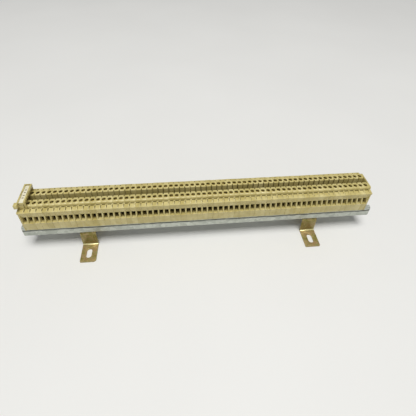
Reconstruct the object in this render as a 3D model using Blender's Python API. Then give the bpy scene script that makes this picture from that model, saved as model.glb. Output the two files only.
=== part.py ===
"""A strip of feed-through screw terminals on a G-section rail, standing on two bent brackets.

X runs along the rail, -Y is the front and +Z is up. The feet stand at z = 0 and the rail is centred on x = 0.
Each terminal has a frame of its own: x = 0 at its middle, y = 0 at the rail's middle, z = 0 at its flat top.
"""

import math

import bmesh
import bpy
from mathutils import Vector

MM = 0.001
GAP = 0.3 * MM  # between pieces that touch

# The row of terminals
PITCH = 6.5 * MM
COUNT = 64
BANK_SIZE = 10
BANKS = 6
OPERABLE = COUNT - BANK_SIZE * BANKS  # modelled piece by piece, at the right-hand end
ROW_SHIFT = -2.0 * MM  # the rail projects further on the right
HOUSING_WIDTH = PITCH - GAP

# The rail: bent sheet, open at the top, with a short front lip and a longer rear lip
RAIL_LENGTH = 434.0 * MM
RAIL_WIDTH = 34.0 * MM
RAIL_HEIGHT = 15.5 * MM
RAIL_SHEET = 1.5 * MM
RAIL_BEND = 1.9 * MM  # bend radius at the middle of the sheet
FRONT_LIP = 5.0 * MM
REAR_LIP = 8.0 * MM

# The brackets: a hat of bent strip under the rail
RISE = 23.2 * MM  # table to the rail's underside
BRACKET_X = {"left": -143.5 * MM, "right": 139.5 * MM}
BRACKET_WIDTH = 19.0 * MM
BRACKET_SHEET = 2.0 * MM
BRACKET_BEND = 2.2 * MM
FOOT_REACH = 44.0 * MM  # from the rail's middle to a foot's end
SLOT_WIDTH = 6.6 * MM
SLOT_LENGTH = 14.0 * MM
SLOT_Y = 31.5 * MM

# The fixing screws and nuts between rail and brackets
BOLT_R = 2.5 * MM
BOLT_HEAD_R = 4.6 * MM
BOLT_HEAD_H = 2.8 * MM
BOLT_LENGTH = 9.5 * MM
NUT_R = 4.6 * MM  # across corners
NUT_H = 4.0 * MM

# Heights in a terminal's frame, all below its flat top
TOP = RISE + 48.5 * MM
SKIRT = -33.8 * MM
RAIL_TOP = RISE + RAIL_HEIGHT - TOP
CHANNEL_HALF = 3.6 * MM
CHANNEL_FLOOR = -13.0 * MM
TOWER = 13.4 * MM
TOWER_CHAMFER = 0.5 * MM
MARKER_SLOT = 14.9 * MM
MARKER_SLOT_FLOOR = -4.4 * MM
FOOT_BOTTOM = -41.5 * MM
HOOK = 2.5 * MM
SPRING_SLIT = (3.0 * MM, 4.2 * MM)  # frees the rear hook to spring
SPRING_SLIT_TOP = -26.0 * MM

# The clamping chambers inside a housing
CHAMBER_INNER = 5.0 * MM
CHAMBER_OUTER = 12.0 * MM
CHAMBER_TOP = -1.6 * MM
CHAMBER_BOTTOM = -22.6 * MM
CHAMBER_DEPTH = 5.0 * MM  # from the open left side
CLAMP_X = -0.6 * MM
CLAMP_Y = 8.5 * MM
HOLE_HALF_X = 2.1 * MM
HOLE_HALF_Y = 2.4 * MM
BANK_HOLE_DEPTH = 4.0 * MM  # a bank is solid under its holes
ENTRY_LEFT = -2.6 * MM
ENTRY_RIGHT = 1.8 * MM
ENTRY_ROOF = -13.9 * MM
ENTRY_FLOOR = -20.8 * MM

# The current bar, the clamping screw and the cage it draws up
BAR_TOP = -13.2 * MM
BAR_THICK = 2.0 * MM
BAR_HALF_WIDTH = 1.2 * MM
BAR_REACH = 11.5 * MM
SCREW_R = 1.5 * MM
SCREW_HEAD_R = 2.0 * MM
SCREW_HEAD_TOP = -3.0 * MM
SCREW_HEAD_H = 1.7 * MM
DRIVER_SLOT = 0.8 * MM
CAGE_HALF_X = 2.2 * MM
CAGE_HALF_Y = 3.2 * MM
CAGE_WALL = 0.7 * MM
CAGE_NUT = 2.6 * MM
CAGE_FLOOR = 1.4 * MM
CAGE_WINDOW_FLOOR = -20.8 * MM

# The end plates, the label carrier and its label
LEFT_PLATE = 1.9 * MM
RIGHT_PLATE = 1.5 * MM
PLATE_HALF_WIDTH = 19.0 * MM  # below the nose
NOSE_HEIGHT = 9.0 * MM  # the plates follow the housings down to here
CARRIER_WIDTH = 8.4 * MM
CARRIER_X = 5.75 * MM  # its middle, measured from the left end plate's inner face
CARRIER_BACK = 15.6 * MM
CARRIER_FRONT = 15.2 * MM
TRAY_LOW = 4.6 * MM
TRAY_TOP = 7.6 * MM
LEG_THICK = 0.9 * MM
CATCH_FRONT = 19.5 * MM  # from the middle to the catch's front face
CATCH_REACH = 3.3 * MM  # to the left of the tray
CATCH_LOW = 1.5 * MM
CATCH_HIGH = 6.5 * MM
LABEL_HALF = 2.8 * MM
LABEL_LOW = 6.3 * MM
LABEL_THICK = 0.5 * MM
LABEL_LENGTH = 28.4 * MM


def clear_scene():
    for old in list(bpy.data.objects):
        bpy.data.objects.remove(old, do_unlink=True)


def material(name, colour, roughness, metallic=0.0):
    made = bpy.data.materials.new(name)
    made.use_nodes = True
    shader = made.node_tree.nodes["Principled BSDF"]
    shader.inputs["Base Color"].default_value = (*colour, 1.0)
    shader.inputs["Roughness"].default_value = roughness
    shader.inputs["Metallic"].default_value = metallic
    return made


def link(name, mesh, finish=None):
    made = bpy.data.objects.new(name, mesh)
    bpy.context.scene.collection.objects.link(made)
    if finish:
        mesh.materials.append(finish)
    return made


def mesh_from(name, bm):
    bmesh.ops.recalc_face_normals(bm, faces=bm.faces)
    mesh = bpy.data.meshes.new(name)
    bm.to_mesh(mesh)
    bm.free()
    return mesh


def add_prism(bm, outline, low, high, axis="X"):
    """Adds an outline extruded along an axis. Its points are (y, z) along X, (x, z) along Y or (x, y) along Z."""
    place = {
        "X": lambda a, b, at: (at, a, b),
        "Y": lambda a, b, at: (a, at, b),
        "Z": lambda a, b, at: (a, b, at),
    }[axis]
    rings = [[bm.verts.new(place(a, b, at)) for a, b in outline] for at in (low, high)]
    bm.faces.new(rings[0])
    bm.faces.new(list(reversed(rings[1])))
    for i in range(len(outline)):
        j = (i + 1) % len(outline)
        bm.faces.new((rings[0][i], rings[1][i], rings[1][j], rings[0][j]))


def prism(name, outline, low, high, axis="X"):
    bm = bmesh.new()
    add_prism(bm, outline, low, high, axis)
    return mesh_from(name, bm)


def rectangle(low_a, high_a, low_b, high_b):
    return [(low_a, low_b), (high_a, low_b), (high_a, high_b), (low_a, high_b)]


def ellipse(centre_a, centre_b, half_a, half_b, sides=12):
    turns = [2 * math.pi * (k + 0.5) / sides for k in range(sides)]
    return [(centre_a + half_a * math.cos(t), centre_b + half_b * math.sin(t)) for t in turns]


def obround(centre_x, centre_y, width, length, steps=6):
    """A slot's outline in X and Y, long along Y."""
    r = width / 2
    straight = length / 2 - r
    points = []
    for side in (1, -1):
        for k in range(steps + 1):
            turn = math.pi * k / steps + (0 if side == 1 else math.pi)
            points.append((centre_x + r * math.cos(turn), centre_y + side * straight + r * math.sin(turn)))
    return points


def rounded_path(corners, radius, steps=4):
    """The corners of an open path with each inner corner replaced by an arc."""
    points = [Vector(corners[0])]
    for before, corner, after in zip(corners, corners[1:], corners[2:]):
        back = (Vector(before) - Vector(corner)).normalized()
        ahead = (Vector(after) - Vector(corner)).normalized()
        half = back.angle(ahead) / 2
        centre = Vector(corner) + (back + ahead).normalized() * radius / math.sin(half)
        start = Vector(corner) + back * radius / math.tan(half) - centre
        sweep = (math.pi - 2 * half) * (1 if back.x * ahead.y - back.y * ahead.x < 0 else -1)
        for k in range(steps + 1):
            turn = sweep * k / steps
            turned = (
                start.x * math.cos(turn) - start.y * math.sin(turn),
                start.x * math.sin(turn) + start.y * math.cos(turn),
            )
            points.append(centre + Vector(turned))
    points.append(Vector(corners[-1]))
    return points


def sheet_outline(path, thickness):
    """The closed outline of bent sheet whose middle follows a path."""
    sides = ([], [])
    for i, point in enumerate(path):
        back = (point - path[i - 1]).normalized() if i else None
        ahead = (path[i + 1] - point).normalized() if i + 1 < len(path) else None
        along = ((back or ahead) + (ahead or back)).normalized()
        spread = thickness / 2 / along.dot(ahead or back)
        normal = Vector((-along.y, along.x)) * spread
        sides[0].append(point + normal)
        sides[1].append(point - normal)
    return [tuple(p) for p in sides[0] + sides[1][::-1]]


def lathe(name, profile, sides):
    """A solid turned about Z. The profile's (radius, z) points run from the lower pole to the upper one."""
    bm = bmesh.new()
    low = bm.verts.new((0, 0, profile[0][1]))
    high = bm.verts.new((0, 0, profile[-1][1]))
    turns = [2 * math.pi * k / sides for k in range(sides)]
    rings = [[bm.verts.new((r * math.cos(t), r * math.sin(t), z)) for t in turns] for r, z in profile]
    for k in range(sides):
        n = (k + 1) % sides
        bm.faces.new((low, rings[0][n], rings[0][k]))
        bm.faces.new((high, rings[-1][k], rings[-1][n]))
        for a, b in zip(rings, rings[1:]):
            bm.faces.new((a[k], a[n], b[n], b[k]))
    return mesh_from(name, bm)


def carve(piece, *cutters, operation="DIFFERENCE"):
    """Cuts the meshes from a piece, or joins them to it, and keeps the result as its mesh."""
    for n, mesh in enumerate(cutters):
        tool = link(f"{piece.name}.tool{n}", mesh)
        tool.hide_render = True
        tool.display_type = "WIRE"
        cut = piece.modifiers.new(f"cut{n}", "BOOLEAN")
        cut.operation = operation
        cut.object = tool
    bpy.context.view_layer.update()
    shown = piece.evaluated_get(bpy.context.evaluated_depsgraph_get())
    result = bpy.data.meshes.new_from_object(shown)
    piece.modifiers.clear()
    piece.data = result
    for n in range(len(cutters)):
        bpy.data.objects.remove(bpy.data.objects[f"{piece.name}.tool{n}"])
    return piece


def smooth_round(piece, angle=40):
    piece.data.shade_smooth()
    piece.data.set_sharp_from_angle(angle=math.radians(angle))


def terminal_x(index):
    """The middle of a terminal, counted from 0 at the left."""
    return (index - (COUNT - 1) / 2) * PITCH + ROW_SHIFT


def side_outline():
    """A terminal's front half above the skirt, from the channel's floor outwards, as (distance from middle, z)."""
    return [
        (CHANNEL_HALF, CHANNEL_FLOOR),
        (CHANNEL_HALF, -TOWER_CHAMFER),
        (CHANNEL_HALF + TOWER_CHAMFER, 0),
        (TOWER - TOWER_CHAMFER, 0),
        (TOWER, -TOWER_CHAMFER),
        (TOWER, MARKER_SLOT_FLOOR),
        (MARKER_SLOT, MARKER_SLOT_FLOOR),
        (MARKER_SLOT, -3.6 * MM),
        (21.0 * MM, -4.7 * MM),
        (20.8 * MM, -5.9 * MM),
        (18.9 * MM, -8.7 * MM),
        (17.7 * MM, -13.8 * MM),
        (20.3 * MM, -22.3 * MM),
        (19.7 * MM, -23.8 * MM),
        (18.6 * MM, SKIRT),
        (RAIL_WIDTH / 2 + GAP, SKIRT),
        (RAIL_WIDTH / 2 + GAP, RAIL_TOP + GAP),
    ]


def housing_outline():
    """A terminal's whole side view, with a fixed hook in front and a spring hook behind under the rail's lips."""
    half = side_outline()
    front = [(-y, z) for y, z in reversed(half)]
    neck_front = -RAIL_WIDTH / 2 + FRONT_LIP + GAP
    neck_rear = RAIL_WIDTH / 2 - REAR_LIP - GAP
    under_lip = RAIL_TOP - RAIL_SHEET - GAP
    foot = [
        (neck_rear, RAIL_TOP + GAP),
        (neck_rear, under_lip),
        (neck_rear + HOOK, under_lip),
        (neck_rear, under_lip - HOOK),
        (neck_rear, FOOT_BOTTOM + HOOK),
        (SPRING_SLIT[1], FOOT_BOTTOM),
        (SPRING_SLIT[1], SPRING_SLIT_TOP),
        (SPRING_SLIT[0], SPRING_SLIT_TOP),
        (SPRING_SLIT[0], FOOT_BOTTOM + HOOK),
        (neck_front, FOOT_BOTTOM + HOOK),
        (neck_front - HOOK, under_lip - HOOK),
        (neck_front - HOOK, under_lip),
        (neck_front, under_lip),
        (neck_front, RAIL_TOP + GAP),
    ]
    return front + half + foot


def entry_outline(side):
    """The wire funnel in side view. Its floor slopes out to the ledge."""
    inner = CHAMBER_OUTER - 0.1 * MM
    beyond = 24.0 * MM
    points = [
        (beyond, ENTRY_ROOF),
        (inner, ENTRY_ROOF),
        (inner, ENTRY_FLOOR),
        (17.0 * MM, ENTRY_FLOOR),
        (20.6 * MM, -22.2 * MM),
        (beyond, -22.2 * MM),
    ]
    return [(side * y, z) for y, z in points]


def openings_mesh(middles, hole_floor):
    """The driver holes and wire funnels of terminals whose middles are given, as one cutter."""
    bm = bmesh.new()
    for x in middles:
        for side in (-1, 1):
            hole = ellipse(x + CLAMP_X, side * CLAMP_Y, HOLE_HALF_X, HOLE_HALF_Y)
            add_prism(bm, hole, hole_floor, 1 * MM, axis="Z")
            add_prism(bm, entry_outline(side), x + ENTRY_LEFT, x + ENTRY_RIGHT)
    return mesh_from("openings", bm)


def chamber_mesh():
    """The inside of a housing, open on its left: two chambers joined by the slot that holds the current bar."""
    bar_roof = BAR_TOP + GAP
    bar_floor = BAR_TOP - BAR_THICK - GAP
    half = [
        (CHAMBER_INNER, bar_floor),
        (CHAMBER_INNER, CHAMBER_BOTTOM),
        (CHAMBER_OUTER, CHAMBER_BOTTOM),
        (CHAMBER_OUTER, CHAMBER_TOP),
        (CHAMBER_INNER, CHAMBER_TOP),
        (CHAMBER_INNER, bar_roof),
    ]
    outline = half + [(-y, z) for y, z in reversed(half)]
    open_side = -HOUSING_WIDTH / 2 - 1 * MM
    return prism("chambers", outline, open_side, CHAMBER_DEPTH - HOUSING_WIDTH / 2)


def build_rail(finish):
    centre = RAIL_SHEET / 2
    half = RAIL_WIDTH / 2
    corners = [
        (-half + FRONT_LIP, RAIL_HEIGHT - centre),
        (-half + centre, RAIL_HEIGHT - centre),
        (-half + centre, centre),
        (half - centre, centre),
        (half - centre, RAIL_HEIGHT - centre),
        (half - REAR_LIP, RAIL_HEIGHT - centre),
    ]
    outline = sheet_outline(rounded_path(corners, RAIL_BEND), RAIL_SHEET)
    mesh = prism("rail", outline, -RAIL_LENGTH / 2, RAIL_LENGTH / 2)
    rail = link("mounting_rail", mesh, finish)
    bm = bmesh.new()
    for x in BRACKET_X.values():
        add_prism(bm, ellipse(x, 0, BOLT_R + GAP, BOLT_R + GAP, 16), -1 * MM, 3 * MM, axis="Z")
    carve(rail, mesh_from("bolt_holes", bm))
    rail.location.z = RISE
    smooth_round(rail)


def build_bracket(side, finish):
    """A hat-shaped bracket: two slotted feet, two webs and a top plate with a hole for the fixing screw."""
    centre = BRACKET_SHEET / 2
    web = RAIL_WIDTH / 2 - centre
    plate = RISE - GAP - centre
    corners = [
        (-FOOT_REACH, centre),
        (-web, centre),
        (-web, plate),
        (web, plate),
        (web, centre),
        (FOOT_REACH, centre),
    ]
    outline = sheet_outline(rounded_path(corners, BRACKET_BEND), BRACKET_SHEET)
    mesh = prism("bracket", outline, -BRACKET_WIDTH / 2, BRACKET_WIDTH / 2)
    bracket = link(f"bracket_{side}", mesh, finish)
    bm = bmesh.new()
    for y in (-SLOT_Y, SLOT_Y):
        add_prism(bm, obround(0, y, SLOT_WIDTH, SLOT_LENGTH), -1 * MM, 5 * MM, axis="Z")
    hole = ellipse(0, 0, BOLT_R + GAP, BOLT_R + GAP, 16)
    add_prism(bm, hole, RISE - 5 * MM, RISE + 1 * MM, axis="Z")
    carve(bracket, mesh_from("holes", bm))
    bracket.location.x = BRACKET_X[side]
    smooth_round(bracket)


def build_fixing(side, finish):
    """The screw from inside the rail down through the bracket's top plate, and its nut."""
    place = Vector((BRACKET_X[side], 0, RISE + RAIL_SHEET + GAP))
    edge = 0.6 * MM
    profile = [
        (BOLT_R - edge, -BOLT_LENGTH),
        (BOLT_R, edge - BOLT_LENGTH),
        (BOLT_R, 0),
        (BOLT_HEAD_R, 0),
        (BOLT_HEAD_R, BOLT_HEAD_H - edge),
        (BOLT_HEAD_R - edge, BOLT_HEAD_H),
    ]
    screw = link(f"rail_screw_{side}", lathe("rail_screw", profile, 16), finish)
    slot = rectangle(-6 * MM, 6 * MM, -0.6 * MM, 0.6 * MM)
    carve(screw, prism("slot", slot, BOLT_HEAD_H - 1.2 * MM, BOLT_HEAD_H + 1 * MM, axis="Z"))
    screw.location = place
    smooth_round(screw)

    hexagon = ellipse(0, 0, NUT_R, NUT_R, 6)
    nut = link(f"rail_nut_{side}", prism("nut", hexagon, -NUT_H, 0, axis="Z"), finish)
    bore = ellipse(0, 0, BOLT_R + GAP, BOLT_R + GAP, 16)
    carve(nut, prism("bore", bore, -NUT_H - 1 * MM, 1 * MM, axis="Z"))
    nut.location = (place.x, 0, RISE - BRACKET_SHEET - 2 * GAP)
    smooth_round(nut)


def build_banks(finish):
    """Terminals 1 to 60, ten to a bank, with each bank's housings joined."""
    half = (BANK_SIZE * PITCH - GAP) / 2
    bank = link("housing_bank_1", prism("bank", housing_outline(), -half, half), finish)
    middles = [(i - (BANK_SIZE - 1) / 2) * PITCH for i in range(BANK_SIZE)]
    carve(bank, openings_mesh(middles, -BANK_HOLE_DEPTH))
    for n in range(BANKS):
        piece = bank if n == 0 else link(f"housing_bank_{n + 1}", bank.data)
        piece.location = (terminal_x(n * BANK_SIZE + (BANK_SIZE - 1) / 2), 0, TOP)


def housing_mesh(finish):
    half = HOUSING_WIDTH / 2
    housing = link("master", prism("housing", housing_outline(), -half, half), finish)
    carve(housing, chamber_mesh(), openings_mesh([0], CHAMBER_TOP - 0.5 * MM))
    mesh = housing.data
    bpy.data.objects.remove(housing)
    return mesh


def bar_mesh():
    """The current bar, its ends chamfered for the wire."""
    low = BAR_TOP - BAR_THICK
    chamfer = 0.6 * MM
    outline = [
        (-BAR_REACH, BAR_TOP),
        (-BAR_REACH, low + chamfer),
        (chamfer - BAR_REACH, low),
        (BAR_REACH - chamfer, low),
        (BAR_REACH, low + chamfer),
        (BAR_REACH, BAR_TOP),
    ]
    return prism("bar", outline, CLAMP_X - BAR_HALF_WIDTH, CLAMP_X + BAR_HALF_WIDTH)


def clamp_screw_mesh():
    """A slotted cheese-head screw whose tip bears on the current bar."""
    tip = BAR_TOP + GAP
    neck = SCREW_HEAD_TOP - SCREW_HEAD_H
    edge = 0.4 * MM
    profile = [
        (SCREW_R - edge, tip),
        (SCREW_R, tip + edge),
        (SCREW_R, neck),
        (SCREW_HEAD_R, neck),
        (SCREW_HEAD_R, SCREW_HEAD_TOP - edge / 2),
        (SCREW_HEAD_R - edge / 2, SCREW_HEAD_TOP),
    ]
    screw = link("master", lathe("clamp_screw", profile, 16))
    slot = rectangle(-3 * MM, 3 * MM, -DRIVER_SLOT / 2, DRIVER_SLOT / 2)
    carve(screw, prism("slot", slot, SCREW_HEAD_TOP - 1 * MM, SCREW_HEAD_TOP + 1 * MM, axis="Z"))
    smooth_round(screw)
    mesh = screw.data
    bpy.data.objects.remove(screw)
    return mesh


def cage_mesh():
    """A clamping cage: a nut plate above the current bar, two side walls and a floor under the wire."""
    window_top = BAR_TOP + GAP
    outer = rectangle(-CAGE_HALF_X, CAGE_HALF_X, CAGE_WINDOW_FLOOR - CAGE_FLOOR, window_top + CAGE_NUT)
    cage = link("master", prism("cage", outer, -CAGE_HALF_Y, CAGE_HALF_Y, axis="Y"))
    inner = CAGE_HALF_X - CAGE_WALL
    window = rectangle(-inner, inner, CAGE_WINDOW_FLOOR, window_top)
    bore = ellipse(0, 0, SCREW_R + GAP, SCREW_R + GAP, 16)
    carve(
        cage,
        prism("window", window, -5 * MM, 5 * MM, axis="Y"),
        prism("bore", bore, window_top - 1 * MM, window_top + CAGE_NUT + 1 * MM, axis="Z"),
    )
    mesh = cage.data
    bpy.data.objects.remove(cage)
    return mesh


def build_operable(plastic, copper, steel, plated):
    """The last terminals piece by piece: housing, current bar, and a screw and a cage in front and behind."""
    housing = housing_mesh(plastic)
    bar = bar_mesh()
    screw = clamp_screw_mesh()
    cage = cage_mesh()
    for mesh, finish in ((bar, copper), (screw, steel), (cage, plated)):
        mesh.materials.clear()
        mesh.materials.append(finish)
    for number in range(COUNT - OPERABLE + 1, COUNT + 1):
        frame = bpy.data.objects.new(f"terminal_{number}", None)
        bpy.context.scene.collection.objects.link(frame)
        frame.location = (terminal_x(number - 1), 0, TOP)
        pieces = [
            (f"housing_{number}", housing, (0, 0, 0)),
            (f"current_bar_{number}", bar, (0, 0, 0)),
        ]
        for side, y in (("front", -CLAMP_Y), ("rear", CLAMP_Y)):
            pieces.append((f"screw_{number}_{side}", screw, (CLAMP_X, y, 0)))
            pieces.append((f"cage_{number}_{side}", cage, (CLAMP_X, y, 0)))
        for name, mesh, place in pieces:
            piece = link(name, mesh)
            piece.parent = frame
            piece.location = place


def build_end_plates(finish):
    """The plates that close the row's ends, straight in front and behind below the nose."""
    half = [point for point in side_outline() if -NOSE_HEIGHT < point[1] <= 0 and point[0] > CHANNEL_HALF + MM]
    half += [(PLATE_HALF_WIDTH, -12.0 * MM), (PLATE_HALF_WIDTH, SKIRT)]
    outline = [(-y, z) for y, z in reversed(half)] + half
    rail_gap = RAIL_WIDTH / 2 + GAP
    over_rail = RAIL_TOP + GAP
    outline += [(rail_gap, SKIRT), (rail_gap, over_rail), (-rail_gap, over_rail), (-rail_gap, SKIRT)]
    left = link("end_plate_left", prism("left", outline, -LEFT_PLATE, 0), finish)
    left.location = (terminal_x(0) - PITCH / 2 - GAP / 2, 0, TOP)
    right = link("end_plate_right", prism("right", outline, 0, RIGHT_PLATE), finish)
    right.location = (terminal_x(COUNT - 1) + PITCH / 2 + GAP / 2, 0, TOP)


def build_label_carrier(finish):
    """A tray above the first terminal on two legs in its marker slots, with a catch beside the front leg."""
    half = CARRIER_WIDTH / 2
    leg = TOWER + GAP
    leg_foot = MARKER_SLOT_FLOOR + GAP
    outline = [
        (-CARRIER_FRONT, TRAY_TOP),
        (-CARRIER_FRONT, TRAY_LOW),
        (-leg - LEG_THICK, TRAY_LOW),
        (-leg - LEG_THICK, leg_foot),
        (-leg, leg_foot),
        (-leg, TRAY_LOW),
        (leg, TRAY_LOW),
        (leg, leg_foot),
        (leg + LEG_THICK, leg_foot),
        (leg + LEG_THICK, TRAY_LOW),
        (CARRIER_BACK, TRAY_LOW),
        (CARRIER_BACK, TRAY_TOP),
    ]
    carrier = link("label_carrier", prism("label_carrier", outline, -half, half), finish)
    catch = rectangle(-CATCH_FRONT, -leg, CATCH_LOW, CATCH_HIGH)
    bridge = rectangle(-CARRIER_FRONT, -leg, CATCH_LOW, CATCH_HIGH)
    carve(
        carrier,
        prism("catch", catch, -half - CATCH_REACH, 0.4 * MM - half),
        prism("bridge", bridge, 0.2 * MM - half, 3 * MM - half),
        operation="UNION",
    )
    label_top = LABEL_LOW + LABEL_THICK + GAP
    groove = rectangle(-LABEL_HALF - GAP, LABEL_HALF + GAP, LABEL_LOW - GAP, label_top)
    mouth = rectangle(0.3 * MM - LABEL_HALF, LABEL_HALF - 0.3 * MM, label_top - 0.1 * MM, TRAY_TOP + 1 * MM)
    back = CARRIER_BACK - 1 * MM
    carve(
        carrier,
        prism("groove", groove, -CARRIER_FRONT - 1 * MM, back, axis="Y"),
        prism("mouth", mouth, -CARRIER_FRONT - 1 * MM, back, axis="Y"),
    )
    inner = terminal_x(0) - PITCH / 2 - GAP / 2
    carrier.location = (inner + CARRIER_X - GAP, 0, TOP)
    return carrier.location.copy()


def build_label(place, finish):
    """The label, which slides into the tray from the front."""
    outline = rectangle(-LABEL_HALF, LABEL_HALF, LABEL_LOW, LABEL_LOW + LABEL_THICK)
    front = GAP - CARRIER_FRONT
    label = link("label", prism("label", outline, front, front + LABEL_LENGTH, axis="Y"), finish)
    label.location = place


def main():
    clear_scene()
    beige = material("beige_moulded_plastic", (0.60, 0.50, 0.22), 0.45)
    galvanised = material("galvanised_steel", (0.52, 0.55, 0.52), 0.45, 1.0)
    passivated = material("yellow_passivated_steel", (0.42, 0.31, 0.10), 0.35, 1.0)
    plated = material("zinc_plated_steel", (0.60, 0.60, 0.56), 0.35, 1.0)
    tinned = material("tinned_copper", (0.62, 0.60, 0.52), 0.35, 1.0)
    paper = material("white_label", (0.85, 0.84, 0.72), 0.6)

    build_rail(galvanised)
    for side in ("left", "right"):
        build_bracket(side, passivated)
        build_fixing(side, plated)
    build_banks(beige)
    build_operable(beige, tinned, plated, passivated)
    build_end_plates(beige)
    build_label(build_label_carrier(beige), paper)


main()
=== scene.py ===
"""The finished look of a strip of feed-through screw terminals on a G-section rail with two bent brackets.

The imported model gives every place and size. Each piece here stands for one of its nodes, rides on that node's body
and takes a finish that is named for the real material and the way its surface was made.
"""

from __future__ import annotations

import logging
import math
import random
from dataclasses import dataclass, field
from enum import Enum
from typing import Iterable, Sequence, Union

import bmesh
import bpy
from mathutils import Matrix, Vector


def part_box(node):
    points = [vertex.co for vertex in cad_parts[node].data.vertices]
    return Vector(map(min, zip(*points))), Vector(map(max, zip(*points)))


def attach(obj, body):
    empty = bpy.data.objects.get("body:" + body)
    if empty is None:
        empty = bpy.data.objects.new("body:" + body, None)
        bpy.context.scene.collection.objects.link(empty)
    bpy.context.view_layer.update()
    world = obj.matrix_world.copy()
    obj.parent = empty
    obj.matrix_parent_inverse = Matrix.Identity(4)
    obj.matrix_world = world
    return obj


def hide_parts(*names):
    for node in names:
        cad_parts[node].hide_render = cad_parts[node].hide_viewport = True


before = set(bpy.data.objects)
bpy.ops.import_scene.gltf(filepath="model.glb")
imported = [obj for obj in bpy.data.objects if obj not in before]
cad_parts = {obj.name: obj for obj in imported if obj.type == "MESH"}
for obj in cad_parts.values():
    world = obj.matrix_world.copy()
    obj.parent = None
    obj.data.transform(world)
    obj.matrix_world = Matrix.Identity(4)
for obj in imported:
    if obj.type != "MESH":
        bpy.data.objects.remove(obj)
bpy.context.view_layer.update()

LOG = logging.getLogger("terminal_strip")
MM = 0.001
GAP = 0.3 * MM
ROOT_BODY = "strip"
ENDS = ("left", "right")
SHARP_ANGLE = 35.0
SEED = 7

Point = tuple[float, float]
Outline = list[Point]
Source = Union[bpy.types.Node, bpy.types.NodeSocket]
Dressing = tuple[dict[str, Source], dict[str, float]]


class Slot(Enum):
    """The record's material slots."""

    BEIGE = "beige_plastic"
    GALVANISED = "galvanised_steel"
    PASSIVATED = "yellow_passivated_steel"
    ZINC = "zinc_plated_steel"
    TINNED = "tinned_copper"
    CARD = "label_card"


class Side(Enum):
    """The two clamping points of a terminal. The value is the sign of its y."""

    FRONT = -1
    REAR = 1

    @property
    def word(self) -> str:
        """The side's name as nodes and pieces use it."""
        return self.name.lower()


# ---------------------------------------------------------------------------------------------------------------
# Finishes
# ---------------------------------------------------------------------------------------------------------------


def linear(colour: str) -> tuple[float, float, float, float]:
    """Turns an sRGB hex colour into linear RGBA.

    Args:
        colour: Six hex digits with a leading hash.

    Returns:
        The linear colour with alpha 1.
    """
    parts = [int(colour[i : i + 2], 16) / 255 for i in (1, 3, 5)]
    channels = [c / 12.92 if c <= 0.04045 else ((c + 0.055) / 1.055) ** 2.4 for c in parts]
    return (channels[0], channels[1], channels[2], 1.0)


def per_mm(size: float) -> float:
    """The texture scale whose features are about this many millimetres across."""
    return 1.0 / (size * MM)


def cloudy(size: float, detail: float = 3.0, warp: float = 0.0) -> dict[str | int, object]:
    """The values of a cloudy pattern.

    Args:
        size: How large its patches are, in millimetres.
        detail: How many finer octaves they hold.
        warp: Their distortion.

    Returns:
        Input to value.
    """
    return {"Scale": per_mm(size), "Detail": detail, "Distortion": warp}


def span(low: float, high: float) -> dict[str | int, object]:
    """The values that turn a cloudy pattern into a number from low, where it is weak, to high."""
    return {"From Min": 0.3, "From Max": 0.7, "To Min": low, "To Max": high}


def bumps(depth: float, strength: float) -> dict[str | int, object]:
    """The values of a relief this many millimetres deep."""
    return {"Strength": strength, "Distance": depth * MM}


@dataclass
class FinishBase:
    """A finish: a real material and how its surface was made, with the record's slot that it stands for."""

    title: str
    slot: Slot | None = None
    _made: bpy.types.Material | None = field(default=None, init=False, repr=False)

    def material(self) -> bpy.types.Material:
        """Builds the material once and returns it."""
        if self._made is None:
            self._made = bpy.data.materials.new(self.title)
            self._made.use_nodes = True
            self._made.node_tree.nodes.clear()
            links, values = self.dress()
            shader = self.add_node("BsdfPrincipled", links, values)
            self.add_node("OutputMaterial", {"Surface": shader})
        return self._made

    def dress(self) -> Dressing:
        """Builds this finish's patterns.

        Returns:
            What feeds the Principled shader's inputs, and its values that are the same everywhere.
        """
        raise NotImplementedError

    def add_node(
        self,
        kind: str,
        links: dict[str | int, Source] | None = None,
        values: dict[str | int, object] | None = None,
        stops: Sequence[tuple[float, str]] = (),
        **settings: object,
    ) -> bpy.types.Node:
        """Adds a shader node with its settings, its input values and its incoming links.

        Args:
            kind: Blender's name for the node's type, after "ShaderNode".
            links: Input, by name or number, to the output that feeds it, or to a node for its first output in use.
            values: Input, by name or number, to its value.
            stops: Positions from 0 to 1 with their sRGB hex colours, for a node that holds a ramp of them.
            settings: Attributes of the node itself.

        Returns:
            The new node.
        """
        tree = self._made.node_tree
        node = tree.nodes.new(f"ShaderNode{kind}")
        for name, value in settings.items():
            setattr(node, name, value)
        for key, value in (values or {}).items():
            node.inputs[key].default_value = value
        for at, _ in stops[2:]:
            node.color_ramp.elements.new(at)
        for element, (at, colour) in zip(node.color_ramp.elements if stops else (), stops):
            element.position = at
            element.color = linear(colour)
        for key, source in (links or {}).items():
            if isinstance(source, bpy.types.Node):
                source = next(output for output in source.outputs if output.enabled)
            tree.links.new(source, node.inputs[key])
        return node


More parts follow.
